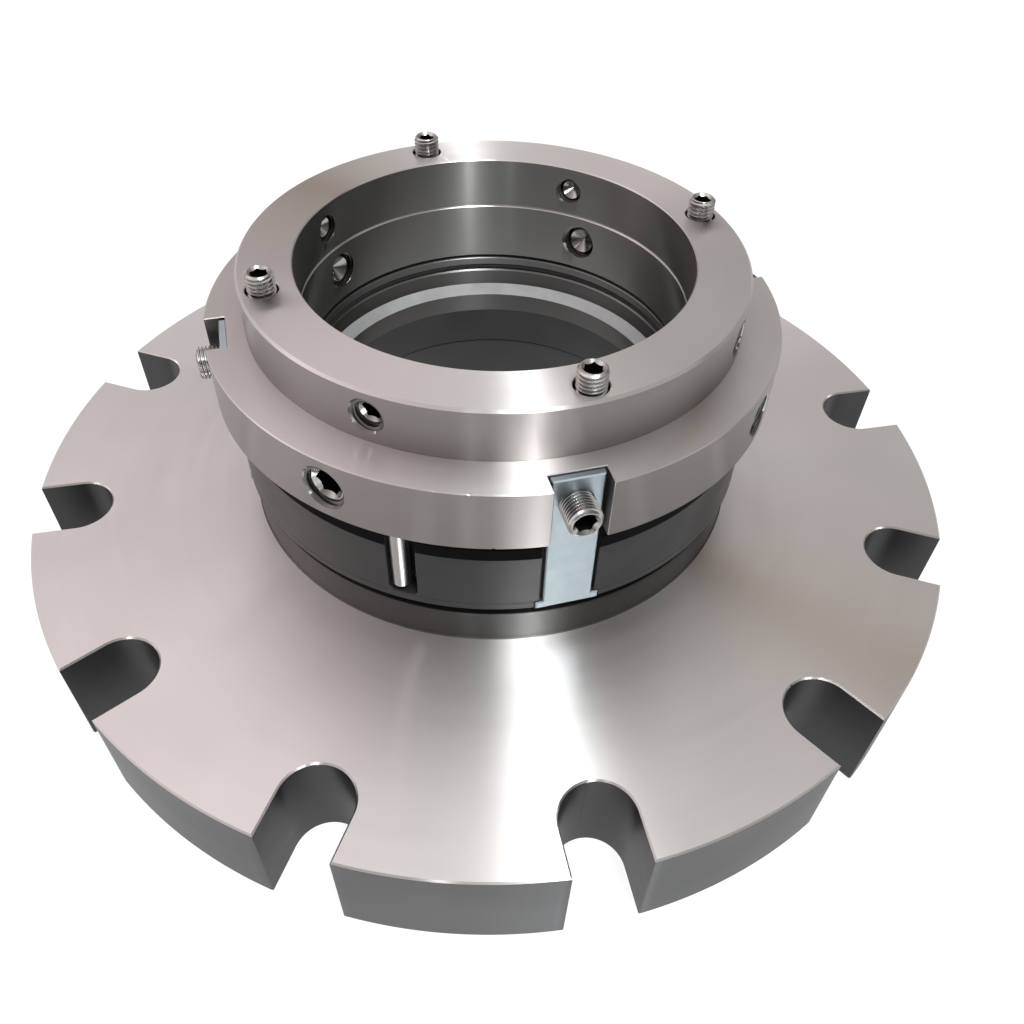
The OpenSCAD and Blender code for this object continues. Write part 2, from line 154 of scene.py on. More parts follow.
def take(part, kind, test):
    """Selects the vertices, edges or faces of the part in edit mode that pass the test."""
    mesh = bmesh.from_edit_mesh(part.data)
    for group in (mesh.verts, mesh.edges, mesh.faces):
        for piece in group:
            piece.select = False
    found = 0
    for piece in getattr(mesh, kind):
        if test(piece):
            piece.select_set(True)
            found += 1
    mesh.select_flush_mode()
    bmesh.update_edit_mesh(part.data)
    return found


def mode(kind):
    """Selects by vertex, edge or face."""
    bpy.ops.mesh.select_mode(type=kind)


def edit(part):
    pick(part)
    bpy.ops.object.mode_set(mode="EDIT")


def done(part):
    bpy.ops.object.mode_set(mode="OBJECT")
    return part


def settle(part):
    """Puts the part's place and size into its mesh."""
    pick(part)
    bpy.ops.object.transform_apply(location=True, rotation=True, scale=True)
    return part


def draw_line(name, points):
    """Draws a line in the XZ plane through (radius, height) points, from one vertex."""
    leave_all()
    bpy.ops.mesh.primitive_plane_add(size=MM)
    part = bpy.context.object
    part.name = name
    edit(part)
    mode("VERT")
    bpy.ops.mesh.select_all(action="SELECT")
    bpy.ops.mesh.merge(type="CENTER")
    here = Vector((points[0][0], 0, points[0][1])) * MM
    bpy.ops.transform.translate(value=here)
    for radius, height in points[1:]:
        there = Vector((radius, 0, height)) * MM
        bpy.ops.mesh.extrude_region_move(TRANSFORM_OT_translate={"value": there - here})
        here = there
    return part


def lathe(name, profile, steps):
    """Turns a closed profile of (radius, height) points round the shaft's axis."""
    part = draw_line(name, profile + profile[:1])
    bpy.ops.mesh.select_all(action="SELECT")
    bpy.ops.mesh.remove_doubles(threshold=0.001 * MM)
    bpy.ops.mesh.select_all(action="SELECT")
    bpy.ops.mesh.spin(steps=steps, angle=2 * math.pi, center=(0, 0, 0), axis=(0, 0, 1))
    bpy.ops.mesh.select_all(action="SELECT")
    bpy.ops.mesh.remove_doubles(threshold=0.005 * MM)
    bpy.ops.mesh.normals_make_consistent(inside=False)
    return done(part)


def rod(name, radius, low, high, sides, tip_radius=None):
    """A round or many-sided rod along +Z."""
    leave_all()
    tip_radius = radius if tip_radius is None else tip_radius
    bpy.ops.mesh.primitive_cone_add(vertices=sides, radius1=radius * MM, radius2=tip_radius * MM,
                                    depth=(high - low) * MM, location=(0, 0, (high + low) / 2 * MM))
    part = bpy.context.object
    part.name = name
    return settle(part)


def block(name, low, high):
    """A block between two corners."""
    leave_all()
    middle = [(a + b) / 2 * MM for a, b in zip(low, high)]
    bpy.ops.mesh.primitive_cube_add(size=1, location=middle)
    part = bpy.context.object
    part.name = name
    part.scale = [(b - a) * MM for a, b in zip(low, high)]
    return settle(part)


def move(part, radius, height=0):
    """Moves a part outwards along +X, and up."""
    part.data.transform(Matrix.Translation((radius * MM, 0, height * MM)))
    return part


def lay_along_x(part, height):
    """Turns a rod that stands on +Z to run outwards along +X at a height."""
    lying = Matrix.Rotation(math.pi / 2, 4, "Y")
    part.data.transform(Matrix.Translation((0, 0, height * MM)) @ lying)
    return part


def copies(master, clocks):
    """Copies of a piece that lies along +X, one at each clock angle, each with its own mesh."""
    made = []
    for clock in clocks:
        piece = master.copy()
        piece.data = master.data.copy()
        piece.data.transform(turned_to(clock))
        bpy.context.collection.objects.link(piece)
        made.append(piece)
    bpy.data.objects.remove(master, do_unlink=True)
    return made


def quarters(*placed):
    """Four copies of each master, a quarter turn apart, from the clock angle that comes with it."""
    made = []
    for master, clock in placed:
        made += copies(master, [clock + q for q in QUARTERS])
    return made


def join(parts):
    """Joins parts into the first one."""
    leave_all()
    for part in parts:
        part.select_set(True)
    bpy.context.view_layer.objects.active = parts[0]
    bpy.ops.object.join()
    return parts[0]


def apply_boolean(part, tool, operation="DIFFERENCE"):
    """Cuts the part with a tool, or keeps what both share, and throws the tool away."""
    step = part.modifiers.new("cut", "BOOLEAN")
    step.operation = operation
    step.solver = "EXACT"
    step.use_self = True
    step.object = tool
    pick(part)
    bpy.ops.object.modifier_apply(modifier=step.name)
    bpy.data.objects.remove(tool, do_unlink=True)
    return part


def break_edges(part, width, test, segments=1):
    """Bevels the sharp edges that pass the test, which gets an edge's two ends in millimetres."""
    edit(part)
    mode("EDGE")
    corner = math.radians(50)

    def sharp(edge):
        if len(edge.link_faces) != 2 or edge.calc_face_angle(0) < corner:
            return False
        return test(edge.verts[0].co / MM, edge.verts[1].co / MM)

    if take(part, "edges", sharp):
        bpy.ops.mesh.bevel(offset=width * MM, segments=segments, profile=0.5, affect="EDGES",
                           clamp_overlap=False)
    return done(part)


def smooth(part, degrees=30):
    """Shades the part smooth, but for its edges sharper than an angle."""
    pick(part)
    bpy.ops.object.shade_smooth_by_angle(angle=math.radians(degrees))
    return part


def far_from_axis(point):
    """A point's distance from the shaft's axis."""
    return math.hypot(point[0], point[1])


def thread_profile(radius, pitch):
    """One pitch of a metric thread, as (radius, height) points."""
    root = radius - 0.58 * pitch
    crest = (0.475 * pitch, 0.625 * pitch)
    return [(root, 0), (root, 0.2 * pitch), (radius, crest[0]), (radius, crest[1]), (root, 0.9 * pitch),
            (root, pitch)]


def threaded_rod(name, radius, pitch, length, steps=40):
    """A rod with a real helical thread, cut square at 0 and at its length."""
    spare_turns = 4
    start = -2.07 * pitch
    part = done(draw_line(name, thread_profile(radius, pitch)))
    twist = part.modifiers.new("thread", "SCREW")
    twist.axis = "Z"
    twist.angle = 2 * math.pi
    twist.screw_offset = pitch * MM
    twist.iterations = int(length / pitch) + spare_turns
    twist.steps = steps
    twist.render_steps = steps
    twist.use_merge_vertices = False
    pick(part)
    bpy.ops.object.modifier_apply(modifier=twist.name)
    part.data.transform(Matrix.Translation((0, 0, start * MM)))
    edit(part)
    bpy.ops.mesh.select_all(action="SELECT")
    bpy.ops.mesh.remove_doubles(threshold=0.002 * MM)
    for height, facing in ((0, -1), (length, 1)):
        bpy.ops.mesh.select_all(action="SELECT")
        bpy.ops.mesh.bisect(plane_co=(0, 0, height * MM), plane_no=(0, 0, facing), clear_outer=True,
                            use_fill=True, threshold=0.001 * MM)
    bpy.ops.mesh.select_all(action="SELECT")
    bpy.ops.mesh.normals_make_consistent(inside=False)
    return done(part)


# Materials

def blank(name):
    """A new material without nodes, and its tree."""
    made = bpy.data.materials.new(name)
    made.use_nodes = True
    made.node_tree.nodes.clear()
    return made, made.node_tree


def node(tree, kind, inputs=None, **settings):
    """Adds a node. An input that is given another node's output is linked to it."""
    made = tree.nodes.new(kind)
    for name, value in settings.items():
        setattr(made, name, value)
    for name, value in (inputs or {}).items():
        if isinstance(value, bpy.types.NodeSocket):
            tree.links.new(value, made.inputs[name])
        else:
            made.inputs[name].default_value = value
    return made


def shade(tree, bump=None, **inputs):
    """The surface shader and the output."""
    named = {name.replace("_", " "): value for name, value in inputs.items()}
    surface = node(tree, "ShaderNodeBsdfPrincipled", named)
    if bump is not None:
        tree.links.new(bump, surface.inputs["Normal"])
    node(tree, "ShaderNodeOutputMaterial", {"Surface": surface.outputs[0]})
    return surface


def calc(tree, operation, first, second):
    """A sum on two values."""
    return node(tree, "ShaderNodeMath", {0: first, 1: second}, operation=operation).outputs[0]


def spread(tree, value, low, high, to_low=0, to_high=1):
    """Maps a value from one range to another."""
    ends = {0: value, 1: low, 2: high, 3: to_low, 4: to_high}
    return node(tree, "ShaderNodeMapRange", ends).outputs[0]


def tint(tree, amount, first, second):
    """Mixes two colours by an amount from 0 to 1."""
    mix = node(tree, "ShaderNodeMix", {0: amount, 6: (*first, 1), 7: (*second, 1)}, data_type="RGBA")
    return mix.outputs[2]


def multiply(tree, first, second):
    """Multiplies two colours."""
    mix = node(tree, "ShaderNodeMix", {0: 1.0, 6: first, 7: second}, data_type="RGBA", blend_type="MULTIPLY")
    return mix.outputs[2]


def turning_marks(tree, fineness, along, detail=3.0):
    """Noise that runs round the axis in long thin arcs, as a turning tool leaves it."""
    place = node(tree, "ShaderNodeTexCoord").outputs["Object"]
    flat = node(tree, "ShaderNodeVectorMath", {0: place, 1: (1, 1, 0)}, operation="MULTIPLY").outputs[0]
    radius = node(tree, "ShaderNodeVectorMath", {0: flat}, operation="LENGTH").outputs["Value"]
    heading = node(tree, "ShaderNodeVectorMath", {0: flat}, operation="NORMALIZE").outputs[0]
    heading = node(tree, "ShaderNodeSeparateXYZ", {0: heading})
    height = node(tree, "ShaderNodeSeparateXYZ", {0: place}).outputs[2]
    across, upwards = [calc(tree, "MULTIPLY", value, fineness) for value in (radius, height)]
    round_x, round_y = [calc(tree, "MULTIPLY", heading.outputs[i], along) for i in (0, 1)]
    where = node(tree, "ShaderNodeCombineXYZ", {0: across, 1: upwards, 2: round_x}).outputs[0]
    noise = {"Vector": where, "W": round_y, "Scale": 1.0, "Detail": detail, "Roughness": 0.6}
    return node(tree, "ShaderNodeTexNoise", noise, noise_dimensions="4D").outputs[0]


def soft_patches(tree, size, seed):
    """Noise in patches of a size in millimetres."""
    place = node(tree, "ShaderNodeTexCoord").outputs["Object"]
    noise = {"Vector": place, "W": seed, "Scale": 1 / (size * MM), "Detail": 2.0}
    return node(tree, "ShaderNodeTexNoise", noise, noise_dimensions="4D").outputs[0]


def bump_from(tree, height, depth):
    """A bump as deep as the depth in millimetres."""
    inputs = {"Height": height, "Distance": depth * MM, "Strength": 1.0}
    return node(tree, "ShaderNodeBump", inputs).outputs[0]


def turned_steel(name, pale, dark, roughness, depth, anisotropy, seed):
    """Steel turned on a lathe: fine long arcs of marks, and highlights that lie across them."""
    made, tree = blank(name)
    fine = turning_marks(tree, fineness=2400, along=4)
    bands = turning_marks(tree, fineness=300, along=1.5, detail=2.0)
    patches = soft_patches(tree, 60, seed)
    colour = tint(tree, spread(tree, patches, 0.35, 0.65), pale, dark)
    swing = 0.015
    rough = calc(tree, "ADD", spread(tree, bands, 0.3, 0.7, -swing, swing), roughness)
    surface = shade(tree, bump_from(tree, fine, depth), Base_Color=colour, Roughness=rough, Metallic=1.0,
                    Anisotropic=anisotropy, Anisotropic_Rotation=0.25)
    across = node(tree, "ShaderNodeTangent", direction_type="RADIAL", axis="Z").outputs[0]
    tree.links.new(across, surface.inputs["Tangent"])
    return made


def grained(name, pale, dark, roughness, metallic, grain, depth, specular=0.5):
    """A finish with a fine even grain: blasted, drawn, moulded or pressed."""
    made, tree = blank(name)
    patches = soft_patches(tree, 12 * grain, seed=3.0)
    fine = soft_patches(tree, grain, seed=7.0)
    colour = tint(tree, spread(tree, patches, 0.3, 0.7), pale, dark)
    swing = 0.05
    rough = spread(tree, patches, 0.25, 0.75, roughness - swing, roughness + swing)
    shade(tree, bump_from(tree, fine, depth), Base_Color=colour, Roughness=rough, Metallic=metallic,
          Specular_IOR_Level=specular)
    return made


flange_steel = turned_steel("turned_flange_steel", (0.68, 0.66, 0.655), (0.62, 0.6, 0.595),
                            roughness=0.3, depth=0.0003, anisotropy=1.0, seed=1.0)
# Painted shade: a much darker copy of the turned steel, for the flange's outer rim wall
rim_steel_painted_shade = turned_steel("turned_rim_steel", (0.145, 0.147, 0.15), (0.12, 0.122, 0.125),
                         roughness=0.38, depth=0.0006, anisotropy=0.9, seed=5.0)
# Painted shade: a near-black copy of the turned steel, for the walls of the flange's bolt slots
slot_steel_painted_shade = turned_steel("milled_slot_steel", (0.063, 0.063, 0.066), (0.05, 0.05, 0.053),
                          roughness=0.4, depth=0.001, anisotropy=0.5, seed=6.0)
collar_steel = turned_steel("ground_collar_steel", (0.64, 0.62, 0.61), (0.6, 0.575, 0.565),
                            roughness=0.33, depth=0.0003, anisotropy=1.0, seed=2.0)
# Painted shade: a darker copy of the collar steel, for the collars' outer walls
wall_steel_painted_shade = turned_steel("turned_wall_steel", (0.3, 0.283, 0.276), (0.265, 0.248, 0.242),
                          roughness=0.33, depth=0.0003, anisotropy=1.0, seed=10.0)
# Painted shade: a dark copy of the steel, for the collars' notches and tapped holes
notch_steel_painted_shade = turned_steel("milled_notch_steel", (0.16, 0.155, 0.15), (0.13, 0.126, 0.122),
                           roughness=0.36, depth=0.002, anisotropy=0.2, seed=7.0)
# Painted shade: a near-black copy of the turned steel, for the hub wall under the face ring
hub_steel_painted_shade = turned_steel("turned_hub_steel", (0.11, 0.108, 0.106), (0.09, 0.089, 0.087),
                         roughness=0.34, depth=0.0004, anisotropy=0.95, seed=8.0)
# Painted shade: a darker copy of the collar steel, for the collars' bores
bore_steel_painted_shade = turned_steel("bored_collar_steel_painted_shade", (0.28, 0.28, 0.27), (0.25, 0.25, 0.24),
                          roughness=0.32, depth=0.0004, anisotropy=1.0, seed=9.0)
# Painted shade: a darker copy of the carrier steel, for the carrier's bore land
land_steel_painted_shade = turned_steel("bored_carrier_steel_painted_shade", (0.14, 0.138, 0.134), (0.11, 0.109, 0.106),
                          roughness=0.33, depth=0.0004, anisotropy=1.0, seed=11.0)
ledge_steel = grained("scraped_ledge_steel", (0.39, 0.392, 0.398), (0.35, 0.352, 0.356),
                      roughness=0.65, metallic=0.5, grain=0.8, depth=0.004)
carrier_steel = turned_steel("turned_carrier_steel", (0.21, 0.21, 0.207), (0.18, 0.18, 0.177),
                             roughness=0.36, depth=0.0005, anisotropy=0.9, seed=4.0)
black_ring = grained("satin_black_ring", (0.028, 0.029, 0.03), (0.02, 0.021, 0.022),
                     roughness=0.36, metallic=0.0, grain=1.5, depth=0.004, specular=0.4)
# Painted shadow: a near-black band for the top of the face ring's outer wall, where the drive collar above
# shades it
shadow_band_ring = grained("painted_shadow_black_ring", (0.003, 0.003, 0.003), (0.002, 0.002, 0.002),
                    roughness=0.6, metallic=0.0, grain=1.5, depth=0.004, specular=0.04)
seat_black = grained("lapped_black_seat", (0.02, 0.02, 0.021), (0.016, 0.016, 0.017),
                     roughness=0.3, metallic=0.0, grain=1.5, depth=0.002)
clip_steel = grained("blasted_clip_steel", (0.42, 0.49, 0.53), (0.37, 0.44, 0.48),
                     roughness=0.36, metallic=1.0, grain=0.5, depth=0.006)
screw_steel = grained("stainless_screw_steel", (0.47, 0.46, 0.445), (0.38, 0.37, 0.355),
                      roughness=0.25, metallic=1.0, grain=0.8, depth=0.003)
# Painted shade: a dark copy of the screw steel, for the inside of the hexagon sockets
socket_steel_painted_shade = grained("pressed_socket_steel", (0.1, 0.098, 0.094), (0.07, 0.068, 0.066),
                       roughness=0.35, metallic=1.0, grain=0.8, depth=0.003)
pin_steel = grained("ground_pin_steel", (0.54, 0.54, 0.53), (0.49, 0.49, 0.48),
                    roughness=0.3, metallic=1.0, grain=2.0, depth=0.001)
spring_steel = grained("drawn_spring_wire", (0.5, 0.5, 0.49), (0.42, 0.42, 0.41),
                       roughness=0.3, metallic=1.0, grain=0.5, depth=0.002)
rubber = grained("seal_rubber", (0.018, 0.018, 0.018), (0.012, 0.012, 0.012),
                 roughness=0.6, metallic=0.0, grain=0.6, depth=0.01)
gasket_sheet = grained("pressed_gasket", (0.07, 0.07, 0.073), (0.05, 0.05, 0.053),
                       roughness=0.75, metallic=0.0, grain=0.8, depth=0.03)

PLAIN_NODES = {"gland_gasket": gasket_sheet, "stationary_seat": seat_black, "seat_o_ring": rubber,
               "shaft_o_ring": rubber, "seat_pin_1": pin_steel, "seat_pin_2": pin_steel}


# Places of the second, third and fourth materials of a piece. The first covers all the rest
RIM, SLOT, HUB = 1, 2, 3
SHADOW_BAND = 1
LAND, LEDGE = 1, 2
CUT, BORE, WALL = 1, 2, 3
SOCKET = 1


def paint(part, place, test):
    """Gives one of its materials to the faces whose middle in millimetres and normal pass the test."""
    for face in part.data.polygons:
        if test(face.center / MM, face.normal):
            face.material_index = place


def upright(facing):
    """Whether a face stands up, or nearly."""
    return abs(facing.z) < 0.3


def finish_piece(piece, materials, body, slot, *nodes):
    """Gives a piece its materials and the body that it rides on, and hides the nodes that it stands for. The
    slot is not used.
    """
    for material in materials:
        piece.data.materials.append(material)
    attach(piece, body)
    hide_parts(*nodes)
    return piece


# Gland flange with its hub, pocket and twelve bolt slots

def make_flange():
    low_edge = 1.2
    rim_edge = 0.6
    edge = 0.5
    mouth = 1.2
    part = lathe("turned_gland_flange", [
        (THROAT_R, low_edge), (THROAT_R + low_edge, 0), (GASKET_R[0], 0), (GASKET_R[0], GASKET_T),
        (GASKET_R[1], GASKET_T), (GASKET_R[1], 0), (FLANGE_R - low_edge, 0), (FLANGE_R, low_edge),
        (FLANGE_R, FLANGE_T - rim_edge), (FLANGE_R - rim_edge, FLANGE_T), (HUB_R + edge, FLANGE_T),
        (HUB_R, FLANGE_T + edge), (HUB_R, HUB_TOP - edge), (HUB_R - edge, HUB_TOP),
        (POCKET_R + mouth, HUB_TOP), (POCKET_R, HUB_TOP - mouth), (POCKET_R, POCKET_FLOOR),
        (THROAT_R, POCKET_FLOOR)], FINE_STEPS)
    slot = rod("slot_tool", SLOT_R, -PAST, FLANGE_T + PAST, 96)
    edit(slot)
    mode("VERT")
    take(slot, "verts", lambda v: v.co.x > 0.001 * MM)
    reach = (FLANGE_R - SLOT_RING_R + 8) * MM
    bpy.ops.transform.translate(value=(reach, 0, 0))
    done(slot)
    move(slot, SLOT_RING_R)
    pin_hole_r = 2.55
    pin_depth = 7
    pin_hole = rod("pin_hole_tool", pin_hole_r, POCKET_FLOOR - pin_depth, POCKET_FLOOR + PAST, 32)
    move(pin_hole, SEAT_PIN_R)
    tools = copies(slot, [i * 360 / SLOT_COUNT for i in range(SLOT_COUNT)])
    tools += copies(pin_hole, [0, 180])
    apply_boolean(part, join(tools))
    slot_end = SLOT_RING_R - SLOT_R - 1
    rim_start = FLANGE_R - 0.2

    def slot_edge(a, b):
        if min(far_from_axis(a), far_from_axis(b)) < slot_end:
            return False
        return min(a[2], b[2]) > FLANGE_T - NEAR or max(a[2], b[2]) < NEAR

    def upright_corner(a, b):
        return min(far_from_axis(a), far_from_axis(b)) > FLANGE_R - NEAR and abs(a[2] - b[2]) > 5

    break_edges(part, 0.6, slot_edge)
    break_edges(part, 0.35, upright_corner)
    # Painted shade: the upright rim, slot and hub walls get the darker steels
    paint(part, RIM, lambda at, facing: upright(facing) and far_from_axis(at) > rim_start)
    paint(part, SLOT, lambda at, facing: upright(facing) and slot_end < far_from_axis(at) < rim_start)
    paint(part, HUB, lambda at, facing: POCKET_R < far_from_axis(at) < HUB_R + edge
          and at.z > FLANGE_T + 0.1)
    return smooth(part)


# Black face ring with its clip windows and drive slots

def make_face_ring():
    edge = 0.6
    groove_z = SKIRT_Z + 3.4
    groove = 0.15
    # Where the painted shadow band on the ring's outer wall starts, 5.5 mm under its top
    shadow_band_z = FACE_TOP - 5.5
    recess_r = CARRIER_R + FIT
    part = lathe("turned_face_ring", [
        (LOWER_BORE_R + edge, NOSE_Z), (NOSE_R - edge, NOSE_Z), (NOSE_R, NOSE_Z + edge), (NOSE_R, SKIRT_Z),
        (FACE_R - edge, SKIRT_Z), (FACE_R, SKIRT_Z + edge), (FACE_R, groove_z - groove),
        (FACE_R - groove, groove_z), (FACE_R, groove_z + groove), (FACE_R, shadow_band_z),
        (FACE_R, FACE_TOP - edge), (FACE_R - edge, FACE_TOP), (recess_r + edge, FACE_TOP),
        (recess_r, FACE_TOP - edge), (recess_r, CARRIER_Z), (LOWER_BORE_R, CARRIER_Z),
        (LOWER_BORE_R, NOSE_Z + edge)], RING_STEPS)
    back_gap = 0.4
    side_gap = 1.2
    window_back = CLIP_BACK_R - back_gap
    half = CLIP_W / 2 + side_gap
    foot_half = CLIP_FOOT_W / 2 + back_gap
    foot_top = CLIP_Z[0] + CLIP_FOOT_H + back_gap
    under = SKIRT_Z - PAST
    over = FACE_TOP + PAST
    outside = FACE_R + PAST
    window = block("window_tool", (window_back, -half, under), (outside, half, over))
    foot = block("foot_tool", (window_back, -foot_half, under), (outside, foot_half, foot_top))
    slot_half = 5.3
    corner = 2
    slot_back = PIN_R - slot_half + back_gap
    floor_z = PIN_Z[0] - 2
    slot = block("drive_slot_tool", (slot_back, -slot_half, floor_z), (outside, slot_half, over))
    break_edges(slot, corner, lambda a, b: max(a[2], b[2]) < floor_z + NEAR and abs(a[1] - b[1]) < NEAR, 8)
    tools = quarters((window, CLIP_CLOCK), (foot, CLIP_CLOCK), (slot, DRIVE_SLOT_TURN))
    apply_boolean(part, join(tools))

    def outer_edge(a, b):
        if min(far_from_axis(a), far_from_axis(b)) < FACE_R - 0.05 or abs((a[2] + b[2]) / 2 - shadow_band_z) < 0.1:
            return False
        return max(a[2], b[2]) < groove_z - 0.3 or min(a[2], b[2]) > groove_z + 0.3

    break_edges(part, 0.25, outer_edge)
    # Painted shadow: the outer wall and bevel in the ring's top 5.5 mm get the near-black material
    paint(part, SHADOW_BAND, lambda at, facing: far_from_axis(at) > FACE_R - edge and at.z > shadow_band_z)
    return smooth(part)


# Steel carrier and the ring under the springs

def make_carrier():
    edge = 0.6
    rim = 8
    low = CARRIER_Z + FIT
    high = THRUST_Z[0] - FIT
    part = lathe("turned_face_carrier", [
        (LOWER_BORE_R, low), (CARRIER_R - edge, low), (CARRIER_R, low + edge),
        (CARRIER_R, high - edge), (CARRIER_R - edge, high), (CARRIER_R - rim, high),
        (CARRIER_R - rim, CORD_FLOOR), (CARRIER_BORE_R + edge, CORD_FLOOR),
        (CARRIER_BORE_R, CORD_FLOOR - edge), (CARRIER_BORE_R, TAPER_TOP),
        (LOWER_BORE_R, LAND_TOP)], RING_STEPS)
    # Painted shade: the bore land gets the darker steel
    paint(part, LAND, lambda at, facing: far_from_axis(at) < CARRIER_BORE_R + 0.1 and upright(facing))
    paint(part, LEDGE, lambda at, facing: far_from_axis(at) < CARRIER_BORE_R and facing.z > 0.3)
    return smooth(part)


def bevelled_ring(name, r_in, r_out, low, high, edges, steps=RING_STEPS):
    """A turned ring. The edges are its bevels: inside low, outside low, outside high and inside high."""
    in_low, out_low, out_high, in_high = edges
    return lathe(name, [
        (r_in + in_low, low), (r_out - out_low, low), (r_out, low + out_low), (r_out, high - out_high),
        (r_out - out_high, high), (r_in + in_high, high), (r_in, high - in_high),
        (r_in, low + in_low)], steps)


def make_thrust_ring():
    bore_r = CARRIER_BORE_R + 0.1
    return smooth(bevelled_ring("turned_thrust_ring", bore_r, THRUST_R, *THRUST_Z, (0.3,) * 4))


# Drive collar and lock collar

def tapped_hole(screw, rim):
    """Tools for a threaded hole along +X, in phase with its screw, and for its bevelled mouth at the rim."""
    play = 0.08
    past_turns = 2
    pitch = screw["pitch"]
    turns = int((rim - screw["tip"]) / pitch) + 2 * past_turns + 1
    radius = screw["d"] / 2 + play
    thread = threaded_rod("thread_tool", radius, pitch, turns * pitch, 24)
    thread.data.transform(Matrix.Translation((0, 0, (screw["tip"] - past_turns * pitch) * MM)))
    mouth = 0.6
    flare = 3
    chamfer = rod("mouth_tool", radius - mouth / 2, rim - mouth * 1.5, rim + flare, ROUND_SIDES,
                  radius + mouth / 2 + flare)
    return [lay_along_x(part, screw["mid"]) for part in (thread, chamfer)]


def nick(radius, height, clock, size):
    """A small dent where something hard hit an edge."""
    leave_all()
    where = out_of(clock, radius * MM, height * MM)
    bpy.ops.mesh.primitive_ico_sphere_add(subdivisions=1, radius=size * MM, location=where)
    tool = bpy.context.object
    tool.scale = (1.5, 0.9, 0.8)
    return settle(tool)


def collar_blank(name, rim_r, heights, top_out, top_in):
    """A collar before its holes are cut, with its two top bevels."""
    low_edge = 0.3
    edges = (low_edge, low_edge, top_out, top_in)
    return bevelled_ring(name, COLLAR_BORE_R, rim_r, *heights, edges, FINE_STEPS)


def paint_collar(part, rim_r, middle, reach):
    """Gives a collar's holes and cuts, its bore and its outer wall their darker steels, which carry painted
    shade.
    """
    paint(part, CUT, lambda at, facing: COLLAR_BORE_R + 0.2 < far_from_axis(at) < rim_r - 0.3
          and abs(at.z - middle) < reach)
    paint(part, BORE, lambda at, facing: far_from_axis(at) < COLLAR_BORE_R + 0.1)
    paint(part, WALL, lambda at, facing: far_from_axis(at) > rim_r - 0.1 and upright(facing))


def make_drive_collar():
    low, high = DRIVE_Z
    part = collar_blank("turned_drive_collar", DRIVE_R, DRIVE_Z, 0.4, 0.9)
    axial_r = 5.05
    axial_depth = 13
    pocket_r = 4.4
    pocket_top = 112
    clip_hole_end = CLIP_TIP_R - 1
    half = NOTCH_W / 2
    notch = block("notch_tool", (NOTCH_R, -half, low - PAST), (DRIVE_R + PAST, half, high + PAST))
    clip_hole = rod("hole_tool", CLIP_HOLE_R, clip_hole_end, NOTCH_R + PAST, ROUND_SIDES)
    lay_along_x(clip_hole, DRIVE_MID)
    axial = move(rod("axial_tool", axial_r, high - axial_depth, high + PAST, ROUND_SIDES), AXIAL_RING_R)
    pin = move(rod("pin_tool", PIN_HALF + FIT, low - PAST, PIN_Z[1] + FIT, 32), PIN_R)
    spring = move(rod("pocket_tool", pocket_r, low - PAST, pocket_top, 32), SPRING_RING_R)
    thread, mouth = tapped_hole(SCREWS["drive_screw"], DRIVE_R)
    first = quarters((notch, CLIP_CLOCK), (thread, DRIVE_SCREW_CLOCK), (axial, AXIAL_CLOCK),
                     (pin, PIN_CLOCK))
    first += copies(spring, [SPRING_CLOCK + i * 360 / SPRING_COUNT for i in range(SPRING_COUNT)])
    apply_boolean(part, join(first))
    apply_boolean(part, join(quarters((clip_hole, CLIP_CLOCK), (mouth, DRIVE_SCREW_CLOCK))))

    def notch_edge(a, b):
        if min(far_from_axis(a), far_from_axis(b)) < NOTCH_R - 0.1 or abs(a[2] + b[2] - low - high) < 8:
            return False
        return min(a[2], b[2]) > high - 0.5 or max(a[2], b[2]) < low + 0.5

    def notch_corner(a, b):
        return min(far_from_axis(a), far_from_axis(b)) > DRIVE_R - 0.05 and abs(a[2] - b[2]) > 15

    break_edges(part, 0.28, lambda a, b: notch_edge(a, b) or notch_corner(a, b))
    dents = [nick(DRIVE_R, high, clock=9.0, size=0.55), nick(DRIVE_R, high, clock=14.7, size=0.7),
             nick(DRIVE_R, low, clock=18.7, size=0.8)]
    apply_boolean(part, join(dents))
    paint_collar(part, DRIVE_R, DRIVE_MID, 11.5)
    return smooth(part)


def make_lock_collar():
    low, high = LOCK_Z
    part = collar_blank("turned_lock_collar", LOCK_R, LOCK_Z, 0.9, 0.4)
    axial_r = 5.8
    axial = move(rod("axial_tool", axial_r, low - PAST, high + PAST, 64), AXIAL_RING_R)
    thread, mouth = tapped_hole(SCREWS["lock_screw"], LOCK_R)
    apply_boolean(part, join(quarters((axial, AXIAL_CLOCK), (thread, LOCK_SCREW_CLOCK))))
    apply_boolean(part, join(quarters((mouth, LOCK_SCREW_CLOCK))))
    break_edges(part, 0.3, lambda a, b: min(a[2], b[2]) > high - NEAR)
    apply_boolean(part, nick(LOCK_R, high - 0.3, clock=-0.8, size=0.6))
    paint_collar(part, LOCK_R, LOCK_MID, 9)
    return smooth(part)


# Threaded set screws

